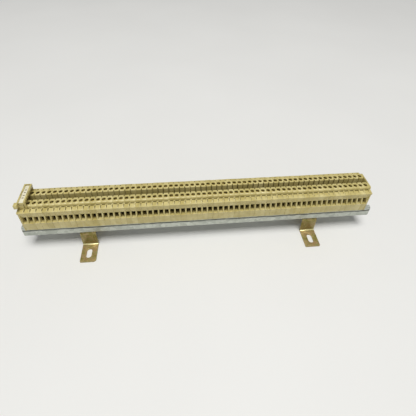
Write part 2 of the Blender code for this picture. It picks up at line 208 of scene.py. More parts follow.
@dataclass
class MouldedMelamine(FinishBase):
    """Compression-moulded melamine: hard, satin and slightly uneven from block to block, yellowed with age.

    Sizes in millimetres.
    """

    pitch: float = 6.5
    row_start: float = 0.0
    deck: float = 0.0
    channel_edge: float = 3.8
    # The channel and the funnels get painted shade, mixed with some dust.
    channel_dust: float = 0.38
    funnel_middle: Point = (10.9, -18.2)
    funnel_half: Point = (5.9, 4.4)

    def dress(self) -> Dressing:
        """Gives the resin its flow marks, its block-to-block tone, and painted shade mixed with some dust in its
        corners and hollows.
        """
        place = self.add_node("TexCoord").outputs["Object"]
        x, y, z = self.add_node("SeparateXYZ", {0: place}).outputs
        counted = {1: per_mm(self.pitch), 2: -self.row_start / self.pitch}
        offset = self.add_node("Math", {0: x}, counted, operation="MULTIPLY_ADD")
        block = self.add_node("Math", {0: offset}, operation="FLOOR")
        tone = self.add_node("TexWhiteNoise", {"W": block}, noise_dimensions="1D")
        resin = ((0.0, "#C8BA7A"), (0.5, "#D1C385"), (1.0, "#D9CC91"))
        base = self.add_node("ValToRGB", {"Fac": tone}, stops=resin)
        marks = self.add_node("TexNoise", {"Vector": place}, cloudy(9.0, 4.0, 0.6))
        flow = {"Factor": self.add_node("MapRange", {"Value": marks}, span(0.0, 0.8)), "A": base}
        flowed = self.add_node("Mix", flow, {"B": linear("#E2DCBC")}, data_type="RGBA", blend_type="MULTIPLY")
        # Painted shade: ambient occlusion darkens the corners and hollows.
        corner = self.add_node("AmbientOcclusion", values={"Distance": 5.0 * MM}, samples=4, only_local=True)
        painted_corner_shade = self.add_node("MapRange", {"Value": corner.outputs["AO"]}, {"From Min": 0.62, "From Max": 0.14})
        patch_noise = self.add_node("TexNoise", {"Vector": place}, cloudy(1.6))
        patchiness = self.add_node("MapRange", {"Value": patch_noise}, span(0.55, 0.95))
        dust_and_shade = self.add_node("Math", {0: self.settled(y, z, painted_corner_shade), 1: patchiness}, operation="MULTIPLY")
        # Painted shade with some dust: dark brown is mixed in where the corners, the channel and the funnels lie in
        # shade.
        shaded_and_dusty = self.add_node("Mix", {"Factor": dust_and_shade, "A": flowed}, {"B": linear("#3F3113")}, data_type="RGBA")
        skin = self.add_node("TexNoise", {"Vector": place}, cloudy(0.7, 2.0))
        links = {
            "Base Color": shaded_and_dusty,
            "Roughness": self.add_node("MapRange", {"Value": skin}, span(0.28, 0.42)),
            "Normal": self.add_node("Bump", {"Height": skin}, bumps(0.06, 0.35)),
        }
        return links, {"IOR": 1.6}

    def settled(self, y: Source, z: Source, corner: Source) -> bpy.types.Node:
        """The share of painted shade, mixed with some dust, at a point: in its corners, the channel and the funnels.

        Args:
            y: The point's place across the row.
            z: Its height.
            corner: The share of painted shade that the corners hold.

        Returns:
            The share, from 0 to 1.
        """
        off_middle = self.add_node("Math", {0: y}, operation="ABSOLUTE")
        near, far = (self.channel_edge - 0.15) * MM, (self.channel_edge + 0.15) * MM
        walls = {"From Min": near, "From Max": far, "To Min": self.channel_dust, "To Max": 0.0}
        channel = self.add_node("MapRange", {"Value": off_middle}, walls)
        width = {1: self.funnel_middle[0] * MM, 2: self.funnel_half[0] * MM}
        across = self.add_node("Math", {0: off_middle}, width, operation="COMPARE")
        height = {1: (self.deck + self.funnel_middle[1]) * MM, 2: self.funnel_half[1] * MM}
        upwards = self.add_node("Math", {0: z}, height, operation="COMPARE")
        funnel = self.add_node("Math", {0: across, 1: upwards}, operation="MULTIPLY")
        hollow = self.add_node("Math", {0: channel, 1: funnel}, operation="MAXIMUM")
        normal = self.add_node("SeparateXYZ", {0: self.add_node("NewGeometry").outputs["Normal"]})
        sideways = self.add_node("Math", {0: normal.outputs["X"]}, operation="ABSOLUTE")
        facing = {"From Min": 0.2, "From Max": 0.8, "To Min": 1.0, "To Max": 0.0}
        lying = self.add_node("MapRange", {"Value": sideways}, facing)
        hollow_shade_and_dust = self.add_node("Math", {0: hollow, 1: lying}, operation="MULTIPLY")
        return self.add_node("Math", {0: hollow_shade_and_dust, 1: corner}, operation="MAXIMUM")


@dataclass
class GalvanisedSteel(FinishBase):
    """Strip steel, hot-dip galvanised before rolling: dull grey zinc with spangle and long rolling streaks.

    An uneven dark line just under the housings' skirts is partly grease and partly painted shade from their
    overhang.
    """

    line_z: float = 0.0
    line_half: float = 1.5 * MM
    line_swing: float = 2.4 * MM
    outer_y: float = 16.4 * MM

    def dress(self) -> Dressing:
        """Gives the zinc its spangle, its dull patches and the streaks that the rolls left along the rail."""
        place = self.add_node("TexCoord").outputs["Object"]
        spangle = self.add_node("TexVoronoi", {"Vector": place}, {"Scale": per_mm(5.0), "Randomness": 1.0})
        flakes = self.add_node("SeparateColor", {0: spangle.outputs["Color"]})
        clouds = self.add_node("TexNoise", {"Vector": place}, cloudy(14.0, 5.0, 0.8))
        blend = self.add_node("Mix", {"A": flakes, "B": clouds}, {"Factor": 0.6}, data_type="FLOAT")
        greys = ((0.2, "#A3A89E"), (0.5, "#C0C4BA"), (0.8, "#D8DCD2"))
        zinc = self.add_node("ValToRGB", {"Fac": blend}, stops=greys)
        # Painted shade, partly grease: a dark patchy line just under the housings' skirts.
        grease_and_shade = {"Factor": self.grease_line(place), "A": zinc}
        greased_and_shaded = self.add_node("Mix", grease_and_shade, {"B": linear("#2C2C26")}, data_type="RGBA")
        stretched = self.add_node("Mapping", {"Vector": place}, {"Scale": (0.02, 1.0, 1.0)})
        streaks = self.add_node("TexNoise", {"Vector": stretched}, {"Scale": per_mm(0.8), "Detail": 3.0})
        links = {
            "Base Color": greased_and_shaded,
            "Roughness": self.add_node("MapRange", {"Value": blend}, span(0.42, 0.62)),
            "Normal": self.add_node("Bump", {"Height": streaks}, bumps(0.08, 0.3)),
        }
        return links, {"Metallic": 0.75}

    def grease_line(self, place: Source) -> bpy.types.Node:
        """The share of grease and painted shade at a point: a patchy line along the rail's outside that wanders up
        and down.

        Args:
            place: The point's place.

        Returns:
            The share, from 0 to 1.
        """
        x, y, z = self.add_node("SeparateXYZ", {0: place}).outputs
        grain = {"Scale": per_mm(16.0), "Detail": 3.0}
        wander = self.add_node("TexNoise", {"W": x}, grain, noise_dimensions="1D")
        swing = {1: self.line_swing, 2: self.line_z - self.line_swing / 2}
        height = self.add_node("Math", {0: wander}, swing, operation="MULTIPLY_ADD")
        above = self.add_node("Math", {0: z, 1: height}, operation="SUBTRACT")
        away = self.add_node("Math", {0: above}, operation="ABSOLUTE")
        soft = {"From Min": self.line_half * 0.3, "From Max": self.line_half, "To Min": 0.95, "To Max": 0.0}
        share = self.add_node("MapRange", {"Value": away}, soft, interpolation_type="SMOOTHSTEP")
        off_middle = self.add_node("Math", {0: y}, operation="ABSOLUTE")
        outside = self.add_node("Math", {0: off_middle}, {1: self.outer_y}, operation="GREATER_THAN")
        blots = self.add_node("TexNoise", {"Vector": place}, cloudy(7.0, 2.0))
        for part in (outside, self.add_node("MapRange", {"Value": blots}, span(0.7, 1.0))):
            share = self.add_node("Math", {0: share, 1: part}, operation="MULTIPLY")
        return share


@dataclass
class YellowPassivate(FinishBase):
    """Zinc plated and yellow chromated steel: a thin film whose colour drifts between gold, olive and brown."""

    # The height below which the bends get a painted highlight.
    rub_height: float = 8.0 * MM
    # How far painted shade darkens the front-facing webs.
    web_shade: float = 0.42

    def dress(self) -> Dressing:
        """Gives the film its drifting colours, its drying stains, a painted highlight on the foot bends, painted
        shade on its front-facing webs and a satin metal under it.
        """
        hues = (
            (0.3, "#9A9252"),
            (0.42, "#A8A05E"),
            (0.5, "#BDB07C"),
            (0.58, "#C0A57A"),
            (0.68, "#A3A86C"),
            (0.8, "#D2C090"),
        )
        place = self.add_node("TexCoord").outputs["Object"]
        drift = self.add_node("TexNoise", {"Vector": place}, cloudy(11.0, 4.0, 1.5))
        film = self.add_node("ValToRGB", {"Fac": drift}, stops=hues)
        stain = self.add_node("TexNoise", {"Vector": place}, cloudy(2.2, 5.0, 0.5))
        dried = {"Factor": self.add_node("MapRange", {"Value": stain}, span(0.0, 0.7)), "A": film}
        stained = self.add_node("Mix", dried, {"B": linear("#C7A878")}, data_type="RGBA", blend_type="MULTIPLY")
        _, y, z = self.add_node("SeparateXYZ", {0: self.add_node("NewGeometry").outputs["Normal"]}).outputs
        # Painted highlight: pale gold on the bends at the feet.
        highlight = {"Factor": self.bend_share(y, z), "A": stained}
        highlighted = self.add_node("Mix", highlight, {"B": linear("#E6DFA6")}, data_type="RGBA")
        # Painted shade: faces that look to the front, the webs, are darkened towards dark olive.
        darkening = {"From Min": -0.9, "From Max": -1.0, "To Max": self.web_shade}
        upright = self.add_node("MapRange", {"Value": y}, darkening)
        shaded_webs = self.add_node("Mix", {"Factor": upright, "A": highlighted}, {"B": linear("#5C5614")}, data_type="RGBA")
        grain = self.add_node("TexNoise", {"Vector": place}, cloudy(0.5, 2.0))
        links = {
            "Base Color": shaded_webs,
            "Roughness": self.add_node("MapRange", {"Value": stain}, span(0.24, 0.38)),
            "Normal": self.add_node("Bump", {"Height": grain}, bumps(0.03, 0.25)),
        }
        return links, {"Metallic": 0.45}

    def bend_share(self, y: Source, z: Source) -> bpy.types.Node:
        """How much painted highlight a point gets: only where the feet are bent up, low down.

        Args:
            y: The y of the way that the surface faces.
            z: The z of it.

        Returns:
            The share, from 0 to 1.
        """
        slope = self.add_node("Math", {0: y, 1: z}, operation="MULTIPLY")
        steep = self.add_node("Math", {0: slope}, operation="ABSOLUTE")
        bend = {"From Min": 0.2, "From Max": 0.42, "To Max": 0.9}
        share = self.add_node("MapRange", {"Value": steep}, bend, interpolation_type="SMOOTHSTEP")
        position = self.add_node("SeparateXYZ", {0: self.add_node("NewGeometry").outputs["Position"]})
        low_down = self.add_node("Math", {0: position.outputs["Z"]}, {1: self.rub_height}, operation="LESS_THAN")
        return self.add_node("Math", {0: share, 1: low_down}, operation="MULTIPLY")


@dataclass
class PlatedMetal(FinishBase):
    """A thin bright plating on a turned or stamped part, dulled by handling."""

    dull: str = "#8E918E"
    bright: str = "#C6C8C4"
    patch: float = 1.2
    smooth: float = 0.25
    rough: float = 0.42
    metal: float = 1.0

    def dress(self) -> Dressing:
        """Gives the plating its duller patches and fine tool marks."""
        place = self.add_node("TexCoord").outputs["Object"]
        cloud = self.add_node("TexNoise", {"Vector": place}, cloudy(self.patch, 4.0, 0.3))
        marks = self.add_node("TexNoise", {"Vector": place}, cloudy(0.25, 2.0))
        links = {
            "Base Color": self.add_node("ValToRGB", {"Fac": cloud}, stops=((0.3, self.dull), (0.7, self.bright))),
            "Roughness": self.add_node("MapRange", {"Value": cloud}, span(self.smooth, self.rough)),
            "Normal": self.add_node("Bump", {"Height": marks}, bumps(0.02, 0.2)),
        }
        return links, {"Metallic": self.metal}


@dataclass
class PrintedCard(FinishBase):
    """Coated white card or film, slightly yellowed, or the dark ink on it."""

    pale: str = "#E9E4CC"
    dark: str = "#DCD5B6"
    gloss: float = 0.5

    def dress(self) -> Dressing:
        """Gives the card its faint fibre and yellowed patches."""
        place = self.add_node("TexCoord").outputs["Object"]
        yellowed = self.add_node("TexNoise", {"Vector": place}, cloudy(5.0, 4.0))
        colour = self.add_node("ValToRGB", {"Fac": yellowed}, stops=((0.35, self.dark), (0.65, self.pale)))
        fibre = self.add_node("TexNoise", {"Vector": place}, cloudy(0.3, 2.0))
        normal = self.add_node("Bump", {"Height": fibre}, bumps(0.02, 0.2))
        return {"Base Color": colour, "Normal": normal}, {"Roughness": self.gloss}


@dataclass
class StudioTable(FinishBase):
    """A smooth pale table top."""

    def dress(self) -> Dressing:
        """Gives the table a faint unevenness, so that it isn't one flat colour."""
        place = self.add_node("TexCoord").outputs["Object"]
        uneven = self.add_node("TexNoise", {"Vector": place}, cloudy(260.0, 2.0))
        colour = self.add_node("ValToRGB", {"Fac": uneven}, stops=((0.3, "#E6E5E1"), (0.7, "#E9E8E4")))
        return {"Base Color": colour}, {"Roughness": 0.6}


# ---------------------------------------------------------------------------------------------------------------
# Mesh building
# ---------------------------------------------------------------------------------------------------------------


def rectangle(low_a: float, high_a: float, low_b: float, high_b: float) -> Outline:
    """A rectangle's four corners, in order."""
    return [(low_a, low_b), (high_a, low_b), (high_a, high_b), (low_a, high_b)]


def arc(centre: Point, radius: float, start: float, end: float, steps: int) -> Outline:
    """Points along an arc.

    Args:
        centre: The arc's centre.
        radius: Its radius.
        start: The angle of its first point in degrees.
        end: The angle of its last point in degrees.
        steps: The number of steps between them.

    Returns:
        The steps + 1 points.
    """
    turns = [math.radians(start + (end - start) * k / steps) for k in range(steps + 1)]
    return [(centre[0] + radius * math.cos(t), centre[1] + radius * math.sin(t)) for t in turns]


def ellipse(centre: Point, half_a: float, half_b: float, sides: int = 24) -> Outline:
    """An ellipse's outline."""
    turns = [2 * math.pi * (k + 0.5) / sides for k in range(sides)]
    return [(centre[0] + half_a * math.cos(t), centre[1] + half_b * math.sin(t)) for t in turns]


def obround(centre: Point, width: float, length: float, steps: int = 12) -> Outline:
    """A slot's outline, long along its second axis."""
    r = width / 2
    straight = length / 2 - r
    upper = arc((centre[0], centre[1] + straight), r, 0, 180, steps)
    lower = arc((centre[0], centre[1] - straight), r, 180, 360, steps)
    return upper + lower


def soften(corners: Sequence[tuple[float, ...]], radius: float, steps: int = 4, closed: bool = True) -> Outline:
    """Replaces each corner of an outline or path with a short arc.

    Args:
        corners: The sharp corners. A corner's third number, if it has one, is its own radius.
        radius: The arcs' radius. It shrinks where the sides are too short for it.
        steps: The number of steps in an arc.
        closed: Whether the last corner joins the first.

    Returns:
        The softened points.
    """
    count = len(corners)
    points: Outline = []
    for i, corner in enumerate(corners):
        here = Vector(corner[:2])
        wanted = corner[2] if len(corner) > 2 else radius
        if not closed and i in (0, count - 1):
            points.append(tuple(here))
            continue
        back = Vector(corners[i - 1][:2]) - here
        ahead = Vector(corners[(i + 1) % count][:2]) - here
        reach_limit = min(back.length, ahead.length) * 0.45
        back.normalize()
        ahead.normalize()
        half = back.angle(ahead) / 2
        if half > math.radians(88):
            points.append(tuple(here))
            continue
        reach = min(wanted / math.tan(half), reach_limit)
        fitted = reach * math.tan(half)
        centre = here + (back + ahead).normalized() * fitted / math.sin(half)
        start = here + back * reach - centre
        sweep = (math.pi - 2 * half) * (1 if back.x * ahead.y - back.y * ahead.x < 0 else -1)
        for k in range(steps + 1):
            points.append(tuple(centre + Matrix.Rotation(sweep * k / steps, 2) @ start))
    return points


def sheet_outline(path: Sequence[Point], thickness: float) -> Outline:
    """The closed outline of bent sheet whose middle follows a path.

    Args:
        path: The middle of the sheet, from end to end.
        thickness: The sheet's thickness.

    Returns:
        The outline's points.
    """
    sides: tuple[Outline, Outline] = ([], [])
    track = [Vector(p) for p in path]
    for i, point in enumerate(track):
        back = (point - track[i - 1]).normalized() if i else None
        ahead = (track[i + 1] - point).normalized() if i + 1 < len(track) else None
        along = ((back or ahead) + (ahead or back)).normalized()
        normal = Vector((-along.y, along.x)) * thickness / 2 / along.dot(ahead or back)
        sides[0].append(tuple(point + normal))
        sides[1].append(tuple(point - normal))
    return sides[0] + sides[1][::-1]


def add_loft(bm: bmesh.types.BMesh, rings: Sequence[Sequence[Vector]]) -> None:
    """Adds a closed solid through rings of points that have the same count."""
    made = [[bm.verts.new(p) for p in ring] for ring in rings]
    bm.faces.new(made[0])
    bm.faces.new(made[-1][::-1])
    for low, high in zip(made, made[1:]):
        for i in range(len(low)):
            j = (i + 1) % len(low)
            bm.faces.new((low[i], high[i], high[j], low[j]))


def along(axis: str, outline: Sequence[Point], at: float) -> list[Vector]:
    """An outline's points placed at a distance along an axis.

    Args:
        axis: X with (y, z) points, Y with (x, z) points or Z with (x, y) points.
        outline: The points.
        at: The distance along the axis.

    Returns:
        The points in space.
    """
    place = "XYZ".index(axis)
    return [Vector((*point[:place], at, *point[place:])) for point in outline]


def new_object(name: str, data: bpy.types.ID) -> bpy.types.Object:
    """Puts a new object in the scene."""
    made = bpy.data.objects.new(name, data)
    bpy.context.scene.collection.objects.link(made)
    return made


def finished_mesh(name: str, bm: bmesh.types.BMesh) -> bpy.types.Mesh:
    """Turns a bmesh into a mesh whose faces point out."""
    bmesh.ops.recalc_face_normals(bm, faces=bm.faces)
    mesh = bpy.data.meshes.new(name)
    bm.to_mesh(mesh)
    bm.free()
    return mesh


def prism(outline: Sequence[Point], low: float, high: float, axis: str = "X") -> bpy.types.Mesh:
    """An outline extruded along an axis.

    Args:
        outline: The outline's points, as along() takes them.
        low: The near end.
        high: The far end.
        axis: The axis.

    Returns:
        The mesh.
    """
    bm = bmesh.new()
    add_loft(bm, [along(axis, outline, low), along(axis, outline, high)])
    return finished_mesh("prism", bm)


def turned(
    profile: Sequence[Point], sides: int, pitch: float = 0.0, depth: float = 0.0, thread: Point = (0, 0)
) -> bpy.types.Mesh:
    """A solid turned about Z, with a thread cut between two heights if it has one.

    Args:
        profile: (radius, z) points from the lower end to the upper one.
        sides: The number of sides.
        pitch: The thread's pitch.
        depth: The thread's depth.
        thread: The heights between which the thread runs.

    Returns:
        The mesh.
    """
    rings: list[Point] = []
    per_turn = 6
    for (r0, z0), (r1, z1) in zip(profile, profile[1:]):
        threaded = depth and r0 == r1 and z0 >= thread[0] - 1e-9 and z1 <= thread[1] + 1e-9
        steps = max(1, round((z1 - z0) / pitch * per_turn)) if threaded else 1
        rings += [(r0 + (r1 - r0) * k / steps, z0 + (z1 - z0) * k / steps) for k in range(steps)]
    rings.append(profile[-1])
    bm = bmesh.new()
    levels = []
    for r, z in rings:
        ring = []
        for k in range(sides):
            share = k / sides
            cut = 0.0
            if depth and thread[0] < z < thread[1]:
                phase = (z / pitch - share) % 1.0
                fade = min(1.0, (z - thread[0]) / pitch, (thread[1] - z) / pitch)
                cut = depth * abs(2 * phase - 1) * fade
            turn = 2 * math.pi * share
            ring.append(Vector(((r - cut) * math.cos(turn), (r - cut) * math.sin(turn), z)))
        levels.append(ring)
    add_loft(bm, levels)
    return finished_mesh("turned", bm)


def joined(meshes: Iterable[bpy.types.Mesh]) -> bpy.types.Mesh:
    """Puts separate meshes into one, without joining their surfaces."""
    return placed((mesh, Matrix()) for mesh in meshes)


def copies(mesh: bpy.types.Mesh, places: Iterable[Matrix]) -> bpy.types.Mesh:
    """One mesh that holds a copy of another at each place."""
    return placed((mesh, place) for place in places)


def placed(meshes: Iterable[tuple[bpy.types.Mesh, Matrix]]) -> bpy.types.Mesh:
    """One mesh that holds each mesh at its own place."""
    bm = bmesh.new()
    for mesh, place in meshes:
        before = len(bm.verts)
        bm.from_mesh(mesh)
        bm.verts.ensure_lookup_table()
        bmesh.ops.transform(bm, matrix=place, verts=bm.verts[before:])
    made = bpy.data.meshes.new("placed")
    bm.to_mesh(made)
    bm.free()
    return made


class Cut(Enum):
    """What a tool does to a blank."""

    REMOVE = "DIFFERENCE"
    ADD = "UNION"
    KEEP = "INTERSECT"


class Blank:
    """A piece in the making, which tools cut and whose edges are then broken."""

    def __init__(self, mesh: bpy.types.Mesh) -> None:
        """Starts from a mesh."""
        self.object = new_object("blank", mesh)
        self.tools: list[bpy.types.Object] = []

    def work(self, cut: Cut, *meshes: bpy.types.Mesh) -> Blank:
        """Adds a cut for each tool mesh.

        Args:
            cut: What each tool does.
            meshes: The tools.

        Returns:
            The blank itself.
        """
        for mesh in meshes:
            tool = new_object("tool", mesh)
            self.tools.append(tool)
            modifier = self.object.modifiers.new("cut", "BOOLEAN")
            modifier.operation = cut.value
            modifier.object = tool
        return self

    def broken_edges(self, width: float, segments: int = 2, angle: float = 30.0) -> Blank:
        """Rounds every edge that is sharper than an angle.

        Args:
            width: The rounding's width.
            segments: Its number of segments.
            angle: The smallest angle in degrees that is rounded.

        Returns:
            The blank itself.
        """
        weld = self.object.modifiers.new("weld", "WELD")
        weld.merge_threshold = 0.002 * MM
        modifier = self.object.modifiers.new("edges", "BEVEL")
        modifier.width = width
        modifier.segments = segments
        modifier.limit_method = "ANGLE"
        modifier.angle_limit = math.radians(angle)
        modifier.miter_outer = "MITER_ARC"
        modifier.use_clamp_overlap = True
        return self

    def mesh(self) -> bpy.types.Mesh:
        """Carries the cuts out, removes the tools and returns the mesh."""
        bpy.context.view_layer.update()
        shown = self.object.evaluated_get(bpy.context.evaluated_depsgraph_get())
        made = bpy.data.meshes.new_from_object(shown)
        for tool in (self.object, *self.tools):
            bpy.data.objects.remove(tool)
        return made


def install(
    name: str,
    mesh: bpy.types.Mesh,
    finish: FinishBase,
    nodes: Sequence[str] = (),
    place: Vector | None = None,
    body: str = ROOT_BODY,
) -> None:
    """Puts a piece in the scene on its body, in place of the nodes that it stands for.

    Args:
        name: The piece's name.
        mesh: Its mesh.
        finish: Its finish, which says its slot.
        nodes: The nodes that it stands for.
        place: Where its origin goes.
        body: The body that it rides on.
    """
    if place is not None:
        mesh.transform(Matrix.Translation(place))
    piece = new_object(name, mesh)
    mesh.materials.clear()
    mesh.materials.append(finish.material())
    mesh.shade_smooth()
    mesh.set_sharp_from_angle(angle=math.radians(SHARP_ANGLE))
    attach(piece, body)
    if nodes:
        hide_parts(*nodes)
    LOG.info("%s: %d faces on %s", name, len(mesh.polygons), body)


# ---------------------------------------------------------------------------------------------------------------
# The terminals
# ---------------------------------------------------------------------------------------------------------------


@dataclass
class TerminalForm:
    """One terminal's shape, in its own frame: x = 0 at its middle, z = 0 at its flat top. Sizes in metres."""

    width: float = 6.42 * MM
    channel_half: float = 3.6 * MM
    channel_floor: float = -13.0 * MM
    tower: float = 13.4 * MM
    marker_slot: float = 14.7 * MM
    marker_floor: float = -8.5 * MM
    tower_round: float = 2.3 * MM
    platform: float = -3.6 * MM
    skirt: float = -35.2 * MM
    rail_top: float = -33.0 * MM
    rail_half: float = 17.3 * MM
    foot_bottom: float = -41.5 * MM
    chamber_inner: float = 5.0 * MM
    chamber_outer: float = 12.0 * MM
    chamber_top: float = -1.6 * MM
    chamber_bottom: float = -22.6 * MM
    wall: float = 1.2 * MM
    clamp_x: float = -0.6 * MM
    clamp_y: float = 8.5 * MM
    entry_left: float = -2.6 * MM
    entry_right: float = 1.8 * MM
    entry_roof: float = -13.9 * MM
    entry_floor: float = -21.7 * MM
    bar_top: float = -13.2 * MM
    bar_thick: float = 2.0 * MM
    hole: Point = (2.1 * MM, 2.35 * MM)
    hole_mouth: Point = (2.45 * MM, 2.9 * MM)
    edge: float = 0.16 * MM

    def half_outline(self) -> Outline:
        """The side view's outer edge from the channel's floor outwards, with soft mould corners."""
        upper = [
            (self.channel_half, self.channel_floor),
            (self.channel_half, 0.0),
            (self.tower, 0.0, self.tower_round),
            (self.tower, self.platform),
            (20.4 * MM, -4.6 * MM),
            (20.2 * MM, -5.8 * MM),
            (18.9 * MM, -8.7 * MM),
            (17.7 * MM, -13.8 * MM),
            (20.3 * MM, -22.3 * MM),
            (19.7 * MM, -23.8 * MM),
            (18.6 * MM, self.skirt),
            (self.rail_half, self.skirt),
        ]
        return soften(upper, 0.45 * MM, 3, closed=False)

    def outline(self) -> Outline:
        """The whole side view, with the foot's fixed hook in front and its spring hook behind."""
        half = self.half_outline()
        over = self.rail_top + GAP
        under = self.rail_top - 1.8 * MM
        front, rear, hook = -11.7 * MM, 8.7 * MM, 2.5 * MM
        foot = [
            (self.rail_half, over),
            (rear, over),
            (rear, under),
            (rear + hook, under),
            (rear, under - hook),
            (rear, self.foot_bottom + hook),
            (4.2 * MM, self.foot_bottom),
            (4.2 * MM, -26.0 * MM),
            (3.0 * MM, -26.0 * MM),
            (3.0 * MM, self.foot_bottom + hook),
            (front, self.foot_bottom + hook),
            (front - hook, under - hook),
            (front - hook, under),
            (front, under),
            (front, over),
            (-self.rail_half, over),
        ]
        return [(-y, z) for y, z in reversed(half)] + half + foot

    def chambers(self) -> bpy.types.Mesh:
        """The inside, open on the left: two chambers joined by the slot for the current bar."""
        roof = self.bar_top + GAP
        floor = self.bar_top - self.bar_thick - GAP
        half = [
            (self.chamber_inner, floor),
            (self.chamber_inner, self.chamber_bottom),
            (self.chamber_outer, self.chamber_bottom),
            (self.chamber_outer, self.chamber_top),
            (self.chamber_inner, self.chamber_top),
            (self.chamber_inner, roof),
        ]
        outline = half + [(-y, z) for y, z in reversed(half)]
        return prism(outline, -self.width, self.width / 2 - self.wall)

    def entry(self, side: Side) -> bpy.types.Mesh:
        """A wire funnel that widens towards its mouth, with a floor that slopes out to the ledge."""
        inner = self.chamber_outer - 0.1 * MM
        flare = 0.35 * MM
        sections = (
            (inner, self.entry_floor, 0.0),
            (16.6 * MM, self.entry_floor, 0.0),
            (20.0 * MM, -22.15 * MM, flare),
            (24.0 * MM, -22.6 * MM, flare),
        )
        rings = []
        for y, floor, wider in sections:
            ring = rectangle(self.entry_left - wider, self.entry_right + wider, floor, self.entry_roof)
            rings.append([Vector((x, side.value * y, z)) for x, z in ring])
        bm = bmesh.new()
        add_loft(bm, rings)
        return finished_mesh("entry", bm)

    def housing(self) -> bpy.types.Mesh:
        """One moulded housing with its holes, funnels, marker slots and ribs."""
        half = self.width / 2
        blank = Blank(prism(self.outline(), -half, half))
        blank.work(Cut.ADD, joined([self.rib(side) for side in Side])).work(Cut.REMOVE, self.chambers())
        funnels = joined([self.entry(side) for side in Side])
        holes = joined([self.driver_hole(side) for side in Side])
        slots = [tool for side in Side for tool in (*self.notches(side), self.marker_cut(side))]
        blank.work(Cut.REMOVE, funnels, holes, *slots)
        return blank.broken_edges(self.edge).mesh()

    def rib(self, side: Side) -> bpy.types.Mesh:
        """The raised rib along a marker platform, at the housing's right."""
        inner = self.marker_slot - 0.1 * MM
        profile = (
            (inner, self.platform - 0.6 * MM),
            (inner, self.platform + 0.9 * MM),
            (17.6 * MM, self.platform + 0.7 * MM),
            (19.4 * MM, -4.05 * MM),
            (19.8 * MM, -4.9 * MM),
        )
        right = self.width / 2
        return prism([(side.value * y, z) for y, z in profile], right - 1.7 * MM, right - 0.8 * MM)

    def driver_hole(self, side: Side) -> bpy.types.Mesh:
        """The screwdriver's hole over a clamping screw, wider at its mouth."""
        middle = (self.clamp_x, side.value * self.clamp_y)
        levels = ((self.hole, self.chamber_top - 0.5 * MM), (self.hole, -0.7 * MM), (self.hole_mouth, 0.2 * MM))
        bm = bmesh.new()
        add_loft(bm, [along("Z", ellipse(middle, *radii), z) for radii, z in levels])
        return finished_mesh("hole", bm)

    def marker_cut(self, side: Side) -> bpy.types.Mesh:
        """The slot behind a tower that a marker tag clips into."""
        low, high = sorted((side.value * (self.tower + 0.02 * MM), side.value * self.marker_slot))
        outline = rectangle(self.entry_left - 0.1 * MM, self.entry_right + 0.5 * MM, low, high)
        return prism(outline, self.marker_floor, 0.5 * MM, axis="Z")

    def notches(self, side: Side) -> list[bpy.types.Mesh]:
        """The notches that part a tower from its neighbours along the channel, and the groove beside its rib.

        Args:
            side: The tower's side.

        Returns:
            The tools that cut them.
        """
        groove = (2.5, 4.0, 14.7, 18.8, -5.3)
        deep_right, deep_left = (2.3, 4.0, 3.4, 5.4, -12.4), (-4.0, -2.75, 3.4, 5.4, -12.4)
        shallow_right, shallow_left = (2.35, 4.0, 4.4, 5.7, -1.25), (-4.0, -2.75, 4.4, 5.7, -1.25)
        made = []
        for left, right, near, far, floor in (groove, deep_right, deep_left, shallow_right, shallow_left):
            low, high = sorted((side.value * near * MM, side.value * far * MM))
            made.append(prism(rectangle(left * MM, right * MM, low, high), floor * MM, MM, axis="Z"))
        return made

    def current_bar(self) -> bpy.types.Mesh:
        """The current bar with chamfered wire ends and a bridge screw's tapped hole."""
        reach, half_width = 11.5 * MM, 1.2 * MM
        low = self.bar_top - self.bar_thick
        outline = soften(rectangle(-reach, reach, low, self.bar_top), 0.5 * MM, 3)
        blank = Blank(prism(outline, self.clamp_x - half_width, self.clamp_x + half_width))
        tapped = prism(ellipse((self.clamp_x, 0.0), 0.8 * MM, 0.8 * MM, 16), low - MM, self.bar_top + MM, axis="Z")
        blank.work(Cut.REMOVE, tapped)
        return blank.broken_edges(0.1 * MM).mesh()

    def clamp_screw(self, threaded: bool) -> bpy.types.Mesh:
        """A slotted cheese-head screw, whose tip bears on the current bar.

        Args:
            threaded: Whether its thread is modelled. It can't be seen inside a closed bank.

        Returns:
            The mesh, about the screw's own axis.
        """
        tip, neck, top = self.bar_top + GAP, -4.4 * MM, -2.7 * MM
        shank, head = 1.5 * MM, 2.0 * MM
        profile = [
            (shank - 0.45 * MM, tip),
            (shank, tip + 0.45 * MM),
            (shank, neck - 0.4 * MM),
            (shank - 0.15 * MM, neck - 0.3 * MM),
            (shank - 0.15 * MM, neck),
            (head - 0.1 * MM, neck),
            (head, neck + 0.1 * MM),
            (head, top - 0.35 * MM),
            (head - 0.12 * MM, top - 0.12 * MM),
            (head - 0.4 * MM, top),
        ]
        thread = (tip + 0.45 * MM, neck - 0.4 * MM) if threaded else (0.0, 0.0)
        body = turned(profile, 28, 0.5 * MM, 0.28 * MM if threaded else 0.0, thread)
        slot = prism(rectangle(-3 * MM, 3 * MM, -0.4 * MM, 0.4 * MM), top - 1.0 * MM, top + MM, axis="Z")
        return Blank(body).work(Cut.REMOVE, slot).mesh()

